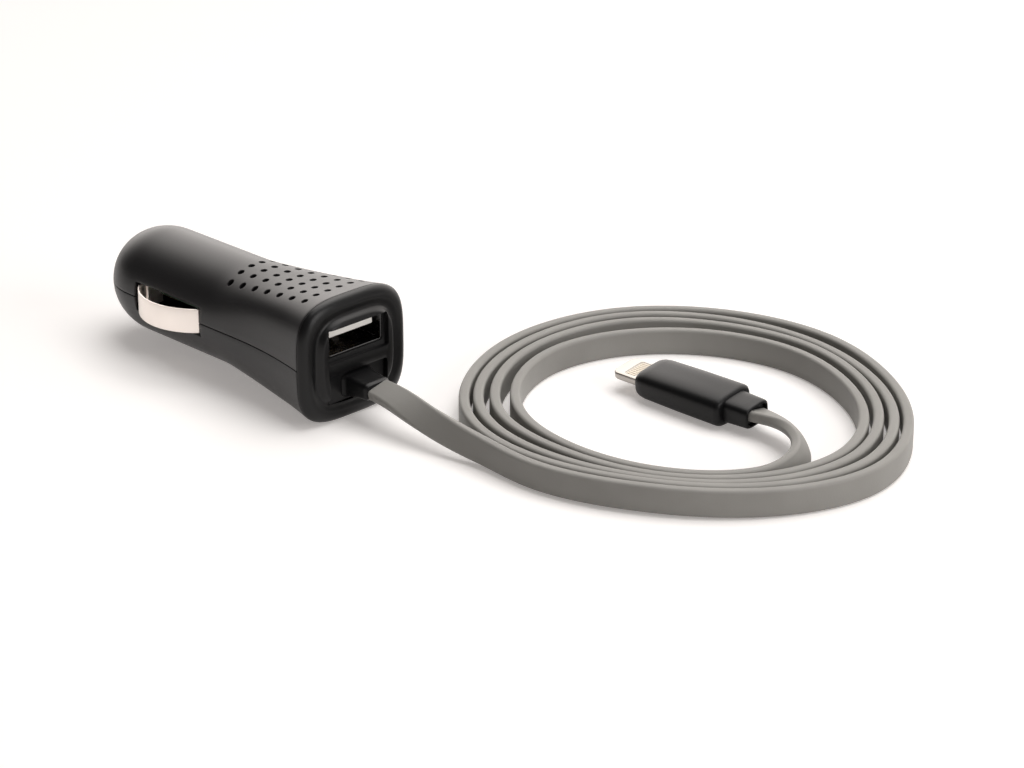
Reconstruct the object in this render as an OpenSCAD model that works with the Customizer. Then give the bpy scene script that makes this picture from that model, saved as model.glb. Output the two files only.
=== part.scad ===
// Car socket charger with one USB port and a captive flat cable.
// +X runs out of the front face, +Z is up, and the charger stands on z = 0.
// The parting plane of its two shells is level, and the cable lies on the floor.

/* [Barrel] */
// Diameter of the straight barrel that enters the socket
barrel_d = 20.9; // [19.8:0.1:21.3]
// Distance from the front face back to the flat end of the nose
charger_l = 64.5; // [60:0.5:75]
// Length of the rounded nose
nose_l = 10.5; // [7:0.5:13]
// Diameter of the flat at the end of the nose
nose_flat_d = 8.4; // [7.6:0.2:12]
// Wall of the two shells
wall = 1.6; // [1.2:0.1:2]
// Wall across the end of the nose
nose_wall = 2; // [1.5:0.1:3]

/* [Flare] */
// Width of the front
front_w = 25.8; // [24:0.2:30]
// Height of the front
front_h = 24; // [22.8:0.2:28]
// Length over which the barrel flares out to the front
flare_l = 20.4; // [16:0.4:26]
// Length over which the round section turns square
square_l = 29; // [24:0.5:34]
// Exponent of the squarish front section, where 2 is an ellipse
squareness = 3.6; // [3:0.1:4.4]

/* [Front cap] */
// Length of the cap from the panel to the shells
cap_l = 2.6; // [2.4:0.1:4]
// Inset of the rim's rounding
cap_round = 2; // [1:0.1:2.4]
// How far the rim lies behind the panel
rim_drop = 0.9; // [0.3:0.1:1.2]
// Depth of the groove behind the rim
groove_depth = 0.5; // [0.2:0.1:0.7]
// Width of the groove between the rim and the panel
groove_w = 2.6; // [2:0.2:3]
// Length of the spigot inside the shells
spigot_l = 3.2; // [2:0.2:5]
// Wall of the spigot
spigot_t = 1.1; // [0.8:0.1:1.4]

/* [Vents] */
// Diameter of a vent hole
vent_d = 1.3; // [0.8:0.1:1.8]
// Rows of vents across the top
vent_rows = 6; // [2:1:6]
// Vents in each row
vent_cols = 7; // [2:1:7]
// Distance between vents along a row
vent_step = 3.55; // [2.6:0.05:3.6]
// Distance between the rows at their front end
vent_gap_front = 2.8; // [2.4:0.1:3.2]
// Distance between the rows at their back end
vent_gap_back = 2.6; // [2.2:0.1:2.8]
// Distance from the front face to the first vents
vent_front = 6.6; // [5:0.2:7]

/* [Side contacts] */
// Distance from the front face to the middle of a side contact
contact_back = 42.4; // [41:0.1:44]
// Length of the slot that a side contact stands in
slot_l = 19; // [18.8:0.1:20]
// Height of that slot
slot_h = 5.6; // [5.4:0.1:7]
// Height of the contact strip
contact_h = 4.8; // [4:0.1:5.4]
// Thickness of the contact strip
contact_t = 0.4; // [0.2:0.05:0.5]
// How far the strip bows out of the barrel
contact_bulge = 3.3; // [2.6:0.1:3.6]
// Radius of the bow
contact_r = 12; // [11.6:0.1:12.6]

/* [Centre pin] */
// Diameter of the sprung pin in the nose
pin_d = 4.4; // [3:0.1:5]
// How far the pin stands out of the nose
pin_out = 1.5; // [1:0.1:3]
// Diameter of the collar that keeps the pin in
pin_collar_d = 6.2; // [5.8:0.1:7]
// Wire of the pin's spring
spring_wire = 0.45; // [0.3:0.05:0.6]
// Mean diameter of the spring
spring_d = 4.2; // [3.6:0.1:4.8]
// Turns of the spring
spring_turns = 6; // [4:1:8]
// Length of the spring at rest
spring_l = 8; // [7:0.2:9]
// Length of the cup that the spring pushes against
cup_l = 3; // [2:0.2:4]

/* [USB port] */
// Width of the port's metal shell
usb_w = 13.1; // [12.8:0.1:13.4]
// Height of the metal shell
usb_h = 5.7; // [5.5:0.1:6]
// Length of the metal shell
usb_l = 14; // [11:0.5:15]
// Sheet thickness of the metal shell
usb_t = 0.3; // [0.2:0.05:0.4]
// Depth of the shell's mouth behind the front face
usb_recess = 1; // [0.6:0.1:1.4]
// Height of the middle of the port above the parting plane
usb_rise = 4.1; // [4:0.1:5]
// Margin of the face pocket beside the shell
usb_side_margin = 0.5; // [0.2:0.1:0.8]
// Margin of the face pocket under the shell
usb_low_margin = 0.8; // [0.3:0.1:0.9]
// Length of the tongue inside the port
tongue_l = 8.6; // [8:0.2:9]
// Width of the tongue
tongue_w = 11.1; // [10:0.1:11.4]
// Thickness of the tongue
tongue_t = 1.84; // [1.6:0.02:2]

/* [Cable outlet] */
// Width of the plate that holds the cable
outlet_w = 13.8; // [11:0.2:14.2]
// Height of the plate
outlet_h = 5.7; // [5.2:0.1:6.2]
// Height of the outlet's middle above the floor
outlet_z = 6.9; // [6.6:0.1:7.2]
// Depth of the plate's surface behind the front face
outlet_recess = 0.9; // [0.4:0.1:1.4]
// How far the boss stands out of the front face
boss_out = 5; // [3:0.5:8]
// Width of the boss at its root
boss_w = 6.6; // [6.2:0.1:8]
// Height of the boss at its root
boss_h = 4.4; // [4:0.1:5]
// Rim of the flange behind the cap
flange_rim = 0.6; // [0.3:0.1:0.8]
// Thickness of that flange
flange_t = 1.4; // [1:0.1:2]

/* [Circuit board] */
// Thickness of the circuit board
board_t = 1.6; // [1:0.1:1.6]
// Width of the board behind the port
board_w = 16.4; // [14.4:0.2:16.6]
// Width of the board between the side contacts
board_neck_w = 10.4; // [8:0.2:10.6]
// Diameter of the posts under the board
post_d = 2.4; // [1.8:0.1:3]

/* [Board parts] */
// Diameter of the inductor
inductor_d = 8; // [6:0.2:9]
// Height of the inductor
inductor_h = 5.2; // [4:0.2:6]
// Diameter of the input capacitor
cap_in_d = 6.3; // [5:0.1:6.6]
// Height of the input capacitor
cap_in_h = 5.4; // [4:0.2:6]
// Diameter of the output capacitor
cap_out_d = 5; // [4:0.1:5.4]
// Height of the output capacitor
cap_out_h = 5.4; // [4:0.2:6]
// Length of the regulator chip
chip_l = 4.9; // [4:0.1:5.4]
// Width of the regulator chip
chip_w = 3.9; // [3:0.1:4]
// Height of the regulator chip
chip_h = 1.5; // [1:0.1:1.7]

/* [Cable] */
// Width of the flat cable
cable_w = 5.1; // [4.4:0.1:5.4]
// Thickness of the flat cable
cable_t = 2; // [1.6:0.1:2.2]
// Outer radius of the coil
coil_r_out = 43.9; // [43.4:0.1:44.4]
// Inner radius of the coil
coil_r_in = 29.6; // [29.6:0.1:30.4]

/* [Device plug] */
// Length of the plug's body
plug_l = 20.5; // [14:0.5:24]
// Width of the plug's body
plug_w = 10; // [8.4:0.1:10.6]
// Height of the plug's body
plug_h = 6; // [4.8:0.1:6.4]
// Height of the plug's middle above the floor
plug_z = 3.7; // [3.3:0.1:4.4]
// Length of the collar behind the body
collar_l = 5.4; // [4:0.2:8]
// Width of that collar
collar_w = 6.8; // [6.2:0.1:7.4]
// Height of that collar
collar_h = 4.6; // [3.6:0.1:5]
// Length of the metal tip
tip_l = 6.4; // [6:0.1:7]
// Width of the metal tip
tip_w = 6.7; // [6.5:0.1:6.9]
// Thickness of the metal tip
tip_t = 1.5; // [1.3:0.1:1.7]
// Contacts on each side of the tip
tip_pads = 8; // [6:1:8]

/* [Hidden] */
$fn = 96;
fit = 0.1;
neck_step = 0.25;
draft = 0.05;
bore_gap = 0.1;
eps = 0.05;
ring_n = 64;
few_n = 40;

// Places along the charger are distances behind the front face, and its middle is x = 0
axis_z = front_h / 2;
x_face = (charger_l + pin_out - boss_out) / 2;
barrel_r = barrel_d / 2;
band_r = barrel_r - draft;
seam = cap_l;
barrel_from = seam + flare_l;
turn_from = seam + square_l;
nose_from = charger_l - nose_l;
band_from = contact_back + slot_l / 2 + 0.3;
nose_a = nose_l / sqrt(1 - pow(nose_flat_d / 2 / band_r, 2));

// Port and board
usb_z = axis_z + usb_rise;
board_top = usb_z - usb_h / 2;
board_low = board_top - board_t;
board_front = 3.4;
pin_back = charger_l - nose_wall;
collar_t = 1;
spring_from = pin_back - collar_t - fit;
cup_front = spring_from - spring_l;
board_back = cup_front - cup_l;
neck_from = 30;
port_back = usb_recess + usb_l;
leaf_at = usb_recess + 2.4;
leaf_y = 3;
leaf_w = 2;
leaf_l = usb_l - 9;
leaf_gap = 0.4;

// Board parts: the row over the board starts behind the port, the row under it at a capacitor
inductor_at = port_back + 1.6 + inductor_d / 2;
cap_in_at = inductor_at + inductor_d / 2 + 0.85 + cap_in_d / 2;
cap_out_at = 16;
chip_at = cap_out_at + cap_out_d / 2 + 3.5;
diode_at = chip_at + chip_l + 4;
diode_l = 5.5;
diode_w = 3.6;
diode_h = 2.2;
chip_gap = 0.1;
resistor_l = 2;
resistor_w = 1.2;
resistor_h = 0.5;
anchor_l = 4;
anchor_w = 8;
anchor_h = 4.6;

// Side contact: the middle of its bow, the fold it turns on, and its ends
bow_y = barrel_r + contact_bulge - contact_r;
bow_end = slot_l / 2 - 0.5;
bow_turn = acos((bow_end - contact_t / 2) / contact_r);
fold_r = 0.5;
fold_x = contact_back + bow_end - 0.3;
fold_y = barrel_r - wall - fold_r - 0.5;
tab_to = board_neck_w / 2 - 0.8;
lip_l = 0.8;

// Coil and cable: places along the lead and the tail, each with the section's roll
coil_c = [75.3, 40];
lead_end = coil_c[0] - sqrt(pow(coil_r_out + 0.15, 2) - pow(coil_c[1] - cable_t / 2, 2));
lead_route = [[35.5, 0, 6.9, 14], [38.5, 0, 6.7, 18], [42, 0, 6.3, 28], [46, 0, 5.5, 42],
              [50, 0, 4.6, 58], [lead_end, 0, 3.7, 74]];
tail_start = [coil_c[0] + coil_r_in - 1.7, 38.9];
tail_route = [[tail_start[0], tail_start[1], 3.3, 76], [99.8, 41.9, 3.7, 62],
              [95.6, 44.3, 3.8, 55], [91.4, 45.6, 3.75, 50], [86.9, 45.8, 3.7, 46]];

// Device plug: its middle line starts at the tail's end, and it leans on its near edge
plug_turn = 2;
plug_roll = 7;
plug_at = [86.9, 45.8];
pad_from = 1.1;
pad_l = 2.8;

// Smooth step from 0 to 1
function ease(t) = let (c = max(0, min(1, t))) c * c * (3 - 2 * c);

// Body section at a distance behind the front face: half width, half height, exponent
function flare_at(b) = pow(max(0, min(1, (barrel_from - b) / flare_l)), 2);
function half_w(b) = barrel_r + (front_w / 2 - barrel_r) * flare_at(b);
function half_h(b) = barrel_r + (front_h / 2 - barrel_r) * flare_at(b);
function power_at(b) = 2 + (squareness - 2) * ease((turn_from - b) / (square_l * 0.75));

// One coordinate of a superellipse
function se(v, n) = sign(v) * pow(abs(v), 2 / n);

// Ring of m points across X, round y = 0 at height z
function ring(x, w, h, n, z, m = ring_n) =
    [for (i = [0 : m - 1])
        let (a = 360 * (i + 0.5) / m) [x, w * se(cos(a), n), z + h * se(sin(a), n)]];

// Ring of the body, set in from its outside
function body_ring(b, inset) =
    ring(x_face - b, half_w(b) - inset, half_h(b) - inset, power_at(b), axis_z);

// Height of the body's underside at a place, on the outside
function underside(b, y) =
    axis_z - half_h(b) * pow(1 - pow(abs(y) / half_w(b), power_at(b)), 1 / power_at(b));

// Rounded rectangle round the origin
function rounded(w, h, r) =
    [for (c = [[1, 1, 0], [-1, 1, 90], [-1, -1, 180], [1, -1, 270]], k = [0 : 5])
        let (a = c[2] + 18 * k) [c[0] * (w / 2 - r) + r * cos(a), c[1] * (h / 2 - r) + r * sin(a)]];

// Solid through a list of rings with as many points each, closed by its end rings
module loft(rings) {
    m = len(rings);
    n = len(rings[0]);
    polyhedron(
        points = [for (r = rings) each r],
        faces = concat(
            [[for (i = [0 : n - 1]) i]],
            [[for (i = [n - 1 : -1 : 0]) (m - 1) * n + i]],
            [for (j = [0 : m - 2], i = [0 : n - 1])
                [j * n + i, (j + 1) * n + i, (j + 1) * n + (i + 1) % n]],
            [for (j = [0 : m - 2], i = [0 : n - 1])
                [j * n + i, (j + 1) * n + (i + 1) % n, j * n + (i + 1) % n]]),
        convexity = 4);
}

// Things turned about the charger's axis, drawn as [distance behind the face, radius]
module turned(points) {
    translate([x_face, 0, axis_z])
        rotate([0, -90, 0])
            rotate_extrude()
                polygon([for (p = points) [p[1], p[0]]]);
}

// Block on the charger, from one distance behind the face to another
module block(b0, b1, y0, y1, z0, z1) {
    translate([x_face - b1, y0, z0])
        cube([b1 - b0, y1 - y0, z1 - z0]);
}

// Prism along X with a rounded section
module bar(b0, b1, w, h, r, z) {
    translate([x_face - b1, 0, z])
        rotate([90, 0, 90])
            linear_extrude(b1 - b0)
                polygon(rounded(w, h, r));
}

// Outside or inside of both shells together: turned nose and band, barrel with the mould's
// draft, lofted flare
module body_form(inset, front, steps) {
    back = charger_l - (inset > 0 ? nose_wall : 0);
    nose = [for (k = [0 : 14])
        let (b = nose_from + (back - nose_from) * k / 14)
        [b, band_r * sqrt(1 - pow((b - nose_from) / nose_a, 2)) - inset]];
    turned(concat([[turn_from - 1, 0], [turn_from - 1, barrel_r - inset],
                   [band_from, band_r - inset]], nose, [[back, 0]]));
    loft([for (k = [0 : steps])
        let (b = turn_from + 1 - (turn_from + 1 - front) * k / steps)
        body_ring(b, inset + (k < 2 ? neck_step : 0))]);
}

// Pair of slots for the side contacts
module contact_slots() {
    for (s = [-1, 1])
        translate([x_face - contact_back - slot_l / 2, s * barrel_r - 3, axis_z - slot_h / 2])
            cube([slot_l, 6, slot_h]);
}

// Both shells before they are parted
module housing() {
    difference() {
        body_form(0, seam, 14);
        body_form(wall, seam - 1, 7);
        contact_slots();
        turned([[pin_back - 1, 0], [pin_back - 1, pin_d / 2 + bore_gap],
                [charger_l + 1, pin_d / 2 + bore_gap], [charger_l + 1, 0]]);
    }
}

module vents() {
    for (c = [0 : vent_cols - 1], r = [0 : vent_rows - 1]) {
        b = vent_front + c * vent_step;
        t = c / (vent_cols - 1);
        gap = vent_gap_front + (vent_gap_back - vent_gap_front) * t;
        translate([x_face - b, (r - (vent_rows - 1) / 2) * gap, axis_z + 3])
            cylinder(d = vent_d, h = front_h, $fn = 24);
    }
}

module upper_shell() {
    color("#26262a")
        difference() {
            intersection() {
                housing();
                block(-1, charger_l + 2, -front_w, front_w, axis_z, axis_z + front_h);
            }
            vents();
        }
}

module lower_shell() {
    color("#232327") {
        intersection() {
            housing();
            block(-1, charger_l + 2, -front_w, front_w, axis_z - front_h, axis_z);
        }
        for (b = [neck_from - 3, board_front + 5], s = [-1, 1]) {
            y = s * (board_w / 2 - post_d / 2 - 0.4);
            low = underside(b, abs(y)) + wall * 0.5;
            translate([x_face - b, y, low])
                cylinder(d = post_d, h = board_low - low, $fn = 32);
        }
    }
}

// Profile of the cap from its back edge over the rim, down the groove and up to the panel
function cap_profile() =
    let (rim_l = cap_l - rim_drop - 0.2)
    concat(
        [[cap_l, 0]],
        [for (k = [0 : 5]) let (a = 18 * k)
            [rim_drop + rim_l * (1 - sin(a)), cap_round * (1 - cos(a))]],
        [for (k = [1 : 3])
            [rim_drop + groove_depth * pow(sin(30 * k), 2), cap_round + groove_w * k / 6]],
        [for (k = [4 : 6])
            [(rim_drop + groove_depth) * pow(sin(30 * k), 2), cap_round + groove_w * k / 6]]);

module front_cap() {
    color("#2a2a2e")
        difference() {
            union() {
                loft([for (p = cap_profile())
                    ring(x_face - p[0], front_w / 2 - p[1], front_h / 2 - p[1],
                         squareness, axis_z)]);
                difference() {
                    loft([for (b = [cap_l + spigot_l, cap_l + spigot_l / 2, cap_l - 0.4])
                        body_ring(b, wall + fit)]);
                    loft([for (b = [cap_l + spigot_l + 1, cap_l + spigot_l / 2, cap_l])
                        body_ring(b, wall + fit + spigot_t)]);
                }
            }
            bar(-1, usb_recess, usb_w + 2 * usb_side_margin, usb_h - 0.2 + usb_low_margin, 0.5,
                usb_z - (usb_low_margin + 0.2) / 2);
            bar(usb_recess - eps, cap_l + 1, usb_w + 2 * fit, usb_h + 2 * fit, 0.3, usb_z);
            bar(-1, cap_l + 1, outlet_w + 2 * fit, outlet_h + 2 * fit, 0.5, outlet_z);
            bar(cap_l, cap_l + flange_t + fit, outlet_w + 2 * flange_rim + 2 * fit,
                outlet_h + 2 * flange_rim + 2 * fit, 0.6, outlet_z);
        }
}

module centre_pin() {
    tip_b = charger_l + pin_out;
    r = pin_d / 2;
    color("#c9c6bd")
        turned(concat(
            [[pin_back - collar_t - fit, 0], [pin_back - collar_t - fit, pin_collar_d / 2],
             [pin_back - fit, pin_collar_d / 2], [pin_back - fit, r], [tip_b - 0.9, r]],
            [for (k = [1 : 5]) let (a = 18 * k)
                [tip_b - 0.9 + 0.9 * sin(a), r - 0.9 + 0.9 * cos(a)]],
            [[tip_b, 0]]));
}

module pin_spring() {
    sides = 5;
    per_turn = 12;
    steps = spring_turns * per_turn;
    run = spring_l - spring_wire - 0.1;
    tilt = atan2(run / spring_turns, PI * spring_d);
    color("#b9b9b4")
        translate([x_face - spring_from + spring_wire / 2 + 0.05, 0, axis_z])
            loft([for (i = [0 : steps])
                let (a = 360 * i / per_turn, x = run * i / steps)
                [for (j = [0 : sides - 1])
                    let (b = 360 * j / sides, u = spring_wire / 2 * cos(b),
                         v = spring_wire / 2 * sin(b), r = spring_d / 2 + u)
                    [x + v * cos(tilt), r * cos(a) + v * sin(tilt) * sin(a),
                     r * sin(a) - v * sin(tilt) * cos(a)]]]);
}

module pin_cup() {
    rim_in = spring_d / 2 + spring_wire / 2 + 0.3;
    color("#c8a24a")
        turned([[board_back, 0], [board_back, rim_in + 0.6], [cup_front + 1.6, rim_in + 0.6],
                [cup_front + 1.6, rim_in], [cup_front, rim_in], [cup_front, 0]]);
}

// Side contact on the +Y side: bow, straight root, fold, inner tab and rear lip
module contact_form() {
    color("#d9d2cc")
        translate([x_face, 0, axis_z - contact_h / 2]) {
            translate([-contact_back, bow_y, 0])
                rotate([0, 0, bow_turn])
                    rotate_extrude(angle = 180 - 2 * bow_turn)
                        translate([contact_r - contact_t, 0])
                            square([contact_t, contact_h]);
            root_x = -contact_back - bow_end;
            root_y = bow_y + contact_r * sin(bow_turn);
            translate([root_x, fold_y, 0])
                cube([contact_t, root_y - fold_y, contact_h]);
            translate([-fold_x, fold_y, 0])
                cylinder(r = fold_r, h = contact_h, $fn = 32);
            translate([-fold_x - contact_t / 2, tab_to, 0])
                cube([contact_t, fold_y - tab_to, contact_h]);
            translate([-contact_back + bow_end - contact_t, root_y - lip_l, 0])
                cube([contact_t, lip_l, contact_h]);
        }
}

module left_contact() {
    mirror([0, 1, 0])
        contact_form();
}

module right_contact() {
    contact_form();
}

module circuit_board() {
    color("#1f5a37")
        difference() {
            union() {
                block(board_front, neck_from, -board_w / 2, board_w / 2, board_low, board_top);
                block(neck_from - eps, board_back, -board_neck_w / 2, board_neck_w / 2,
                      board_low, board_top);
            }
            for (s = [-1, 1])
                translate([x_face - port_back + 2.6, s * (usb_w / 2 - 1.95), board_low - 1])
                    cylinder(d = 1.2, h = board_t + 2, $fn = 24);
        }
}

module usb_shell() {
    front = usb_recess;
    color("#cfcfcf") {
        difference() {
            bar(front, front + usb_l, usb_w, usb_h, 0.5, usb_z);
            bar(front - 1, front + usb_l - usb_t, usb_w - 2 * usb_t, usb_h - 2 * usb_t, 0.3,
                usb_z);
            for (s = [-1, 1])
                block(leaf_at, leaf_at + leaf_l + leaf_gap * 1.5,
                      s * leaf_y - leaf_w / 2 - leaf_gap, s * leaf_y + leaf_w / 2 + leaf_gap,
                      usb_z - usb_h, usb_z - usb_h / 2 + usb_t);
        }
        for (s = [-1, 1])
            translate([x_face - leaf_at, s * leaf_y + leaf_w / 2, usb_z - usb_h / 2])
                leaf();
    }
}

// Leaf that presses on a plug: it rises inwards from its root to a bend, then falls to its tip
module leaf() {
    rotate([90, 0, 0])
        linear_extrude(leaf_w)
            polygon([[0.3, 0], [0.3, usb_t], [0, usb_t], [-0.52 * leaf_l, 1.2], [-leaf_l, 0.7],
                     [-leaf_l, 0.7 - usb_t], [-0.52 * leaf_l, 1.2 - usb_t], [0, 0]]);
}

module usb_tongue() {
    mouth = usb_recess + 1.3;
    back = port_back - usb_t;
    top = usb_z + usb_h / 2 - usb_t - 0.5;
    color("#eeeae2")
        union() {
            bar(mouth, back, tongue_w, tongue_t, 0.2, top - tongue_t / 2);
            block(mouth + tongue_l, back, -usb_w / 2 + 0.7, usb_w / 2 - 0.7,
                  usb_z - usb_h / 2 + usb_t, usb_z + usb_h / 2 - usb_t);
        }
}

module usb_contacts() {
    mouth = usb_recess + 1.3;
    under = usb_z + usb_h / 2 - usb_t - 0.5 - tongue_t;
    color("#d4b25a")
        for (y = [-3.5, -1, 1, 3.5])
            block(mouth + 1, mouth + 7.4, y - 0.5, y + 0.5, under - 0.25, under);
}

module inductor() {
    r = inductor_d / 2;
    color("#3a3a3e")
        translate([x_face - inductor_at, 0, board_top])
            rotate_extrude()
                polygon([[0, 0], [r, 0], [r, inductor_h * 0.2], [r * 0.8, inductor_h * 0.3],
                         [r * 0.8, inductor_h * 0.7], [r, inductor_h * 0.8], [r, inductor_h],
                         [0, inductor_h]]);
}

module capacitor(d, h) {
    r = d / 2;
    rotate_extrude()
        polygon([[0, 0], [r, 0], [r, h * 0.16], [r - 0.25, h * 0.2], [r, h * 0.24],
                 [r, h - 0.3], [r - 0.3, h], [0, h]]);
}

module input_capacitor() {
    color("#b8bcc0")
        translate([x_face - cap_in_at, 0, board_top])
            capacitor(cap_in_d, cap_in_h);
}

module output_capacitor() {
    color("#aeb2b8")
        translate([x_face - cap_out_at, 0, board_low])
            rotate([180, 0, 0])
                capacitor(cap_out_d, cap_out_h);
}

module regulator_chip() {
    lead_w = 0.4;
    step = (chip_l - 1) / 3;
    color("#1c1c1e") {
        block(chip_at, chip_at + chip_l, -chip_w / 2, chip_w / 2, board_low - chip_h - chip_gap,
              board_low - chip_gap);
        for (k = [0 : 3], s = [-1, 1]) {
            b = chip_at + 0.5 + k * step;
            block(b - lead_w / 2, b + lead_w / 2,
                  s > 0 ? chip_w / 2 - 0.2 : -chip_w / 2 - 1,
                  s > 0 ? chip_w / 2 + 1 : -chip_w / 2 + 0.2, board_low - 0.3, board_low);
        }
    }
}

module rectifier_diode() {
    color("#202022") {
        block(diode_at + 0.6, diode_at + diode_l - 0.6, -diode_w / 2, diode_w / 2,
              board_low - diode_h, board_low - chip_gap);
        block(diode_at, diode_at + diode_l, -diode_w * 0.3, diode_w * 0.3, board_low - 0.5,
              board_low);
    }
}

// Chip resistors under the board, beside the output capacitor and behind the diode
module chip_resistors() {
    side = board_w / 2 - 2.6;
    rear = diode_at + diode_l + 2.6;
    color("#2b2b2b")
        for (p = [[cap_out_at - 4, side], [cap_out_at - 1, side], [cap_out_at + 2, side],
                  [cap_out_at + 6, side], [rear, 2.6], [rear + 3, 2.6], [rear, -2.6]])
            block(p[0], p[0] + resistor_l, p[1] - resistor_w / 2, p[1] + resistor_w / 2,
                  board_low - resistor_h, board_low);
}

// Plate in the cap, flange behind it, tapered boss in front and anchor block inside
module strain_relief() {
    root = outlet_recess + 0.3;
    tip_w_out = cable_w + 0.9;
    tip_h_out = cable_t + 1.3;
    color("#17171a")
        union() {
            bar(outlet_recess, cap_l + eps, outlet_w, outlet_h, 0.4, outlet_z);
            bar(cap_l, cap_l + flange_t, outlet_w + 2 * flange_rim, outlet_h + 2 * flange_rim,
                0.6, outlet_z);
            bar(cap_l + flange_t - eps, cap_l + flange_t + anchor_l, anchor_w, anchor_h, 0.6,
                outlet_z);
            loft([for (k = [0 : 6])
                let (t = k / 6, b = root - (root + boss_out) * t,
                     w = boss_w + (tip_w_out - boss_w) * ease(t),
                     h = boss_h + (tip_h_out - boss_h) * ease(t),
                     e = k == 6 ? 0.3 : 0)
                ring(x_face - b, w / 2 - e, h / 2 - e, 5, outlet_z, few_n)]);
        }
}

// Frame of a cable section: side vector across the route, turned by the roll
function unit(v) = v / norm(v);
function cable_ring(p, t) =
    let (h = unit(cross([0, 0, 1], t)), u = cross(t, h), w = cos(p[3]) * h + sin(p[3]) * u,
         d = cross(t, w), a = cable_w / 2, b = cable_t / 2)
    [for (q = [[1, 0.5], [0.82, 1], [-0.82, 1], [-1, 0.5], [-1, -0.5], [-0.82, -1], [0.82, -1],
               [1, -0.5]])
        [p[0], p[1], p[2]] + q[0] * a * w + q[1] * b * d];

// Tangent of a route at one of its points
function heading(route, i) =
    let (a = route[max(0, i - 1)], b = route[min(len(route) - 1, i + 1)])
    unit([b[0] - a[0], b[1] - a[1], b[2] - a[2]]);

module cable(route, first, last) {
    n = len(route);
    color("#80807c")
        loft([for (i = [0 : n - 1])
            cable_ring(route[i], i == 0 ? first : i == n - 1 ? last : heading(route, i))]);
}

module cable_lead() {
    cable(lead_route, [1, 0, 0], [1, 0, 0]);
}

module cable_coil() {
    color("#80807c")
        translate([coil_c[0], coil_c[1], 0])
            rotate_extrude($fn = 180)
                translate([coil_r_in, 0])
                    square([coil_r_out - coil_r_in, cable_w]);
}

module cable_tail() {
    cable(tail_route, unit([-0.58, 0.81, 0]), [-cos(plug_turn), -sin(plug_turn), 0]);
}

// Places on the plug are distances from the cable's end towards the tip
module plug_frame() {
    translate([plug_at[0], plug_at[1], plug_z])
        rotate([-plug_roll, 0, 180 + plug_turn])
            children();
}

module plug_collar() {
    color("#1b1b1d")
        plug_frame()
            loft([for (t = [0, 0.08, 1])
                let (e = t == 0 ? 0.35 : 0)
                ring(t * collar_l, collar_w / 2 * (0.94 + 0.06 * t) - e,
                     collar_h / 2 * (0.94 + 0.06 * t) - e, 4, 0, few_n)]);
}

module plug_body() {
    from = collar_l;
    color("#1e1e20")
        plug_frame()
            loft([for (p = [[0, 0.7], [0.25, 0.25], [0.8, 0], [plug_l * 0.5, 0.05],
                            [plug_l - 2.4, 0.2], [plug_l - 0.8, 0.4], [plug_l - 0.2, 0.75],
                            [plug_l, 1.1]])
                ring(from + p[0], plug_w / 2 - p[1], plug_h / 2 - p[1], 3.6, 0, few_n)]);
}

module plug_tip() {
    from = collar_l + plug_l;
    color("#c4bfb6")
        plug_frame()
            difference() {
                translate([from, 0, -tip_t / 2])
                    linear_extrude(tip_t)
                        polygon(concat([[0, -tip_w / 2]],
                            [for (k = [0 : 6]) let (a = -90 + 15 * k)
                                [tip_l - 1.6 + 1.6 * cos(a), -tip_w / 2 + 1.6 + 1.6 * sin(a)]],
                            [for (k = [0 : 6]) let (a = 15 * k)
                                [tip_l - 1.6 + 1.6 * cos(a), tip_w / 2 - 1.6 + 1.6 * sin(a)]],
                            [[0, tip_w / 2]]));
                for (s = [-1, 1])
                    translate([from + pad_from, -tip_w * 0.39, s > 0 ? tip_t / 2 - 0.25 : -1.5])
                        cube([pad_l, tip_w * 0.78, 1.5 - (tip_t / 2 - 0.25)]);
            }
}

module plug_inserts() {
    from = collar_l + plug_l;
    color("#d8d5cd")
        plug_frame()
            for (s = [0, 1])
                mirror([0, 0, s])
                    translate([from + pad_from, -tip_w * 0.39, tip_t / 2 - 0.25])
                        cube([pad_l, tip_w * 0.78, 0.18]);
}

module plug_contacts() {
    from = collar_l + plug_l;
    step = tip_w * 0.72 / tip_pads;
    color("#c9a84e")
        plug_frame()
            for (s = [0, 1], k = [0 : tip_pads - 1])
                mirror([0, 0, s])
                    translate([from + pad_from + 0.4, (k - (tip_pads - 1) / 2) * step - step * 0.31,
                               tip_t / 2 - 0.07])
                        cube([pad_l - 0.8, step * 0.62, 0.06]);
}

upper_shell();
lower_shell();
front_cap();
centre_pin();
pin_spring();
pin_cup();
left_contact();
right_contact();
circuit_board();
usb_shell();
usb_tongue();
usb_contacts();
inductor();
input_capacitor();
output_capacitor();
regulator_chip();
rectifier_diode();
chip_resistors();
strain_relief();
cable_lead();
cable_coil();
cable_tail();
plug_collar();
plug_body();
plug_tip();
plug_inserts();
plug_contacts();
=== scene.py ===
# %% [markdown]
# # Car socket charger with a captive cable
#
# This notebook builds the looks of a small car charger: a moulded black housing with two sprung
# side contacts and a USB port in its squared front, and a flat grey cable that lies in a coil and
# ends in a device plug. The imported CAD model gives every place, and each cell reads what it needs
# from there or from the same measured values, in millimetres.

# %% Set up the frame
import bmesh
import bpy
import numpy as np
from mathutils import Matrix, Vector


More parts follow.
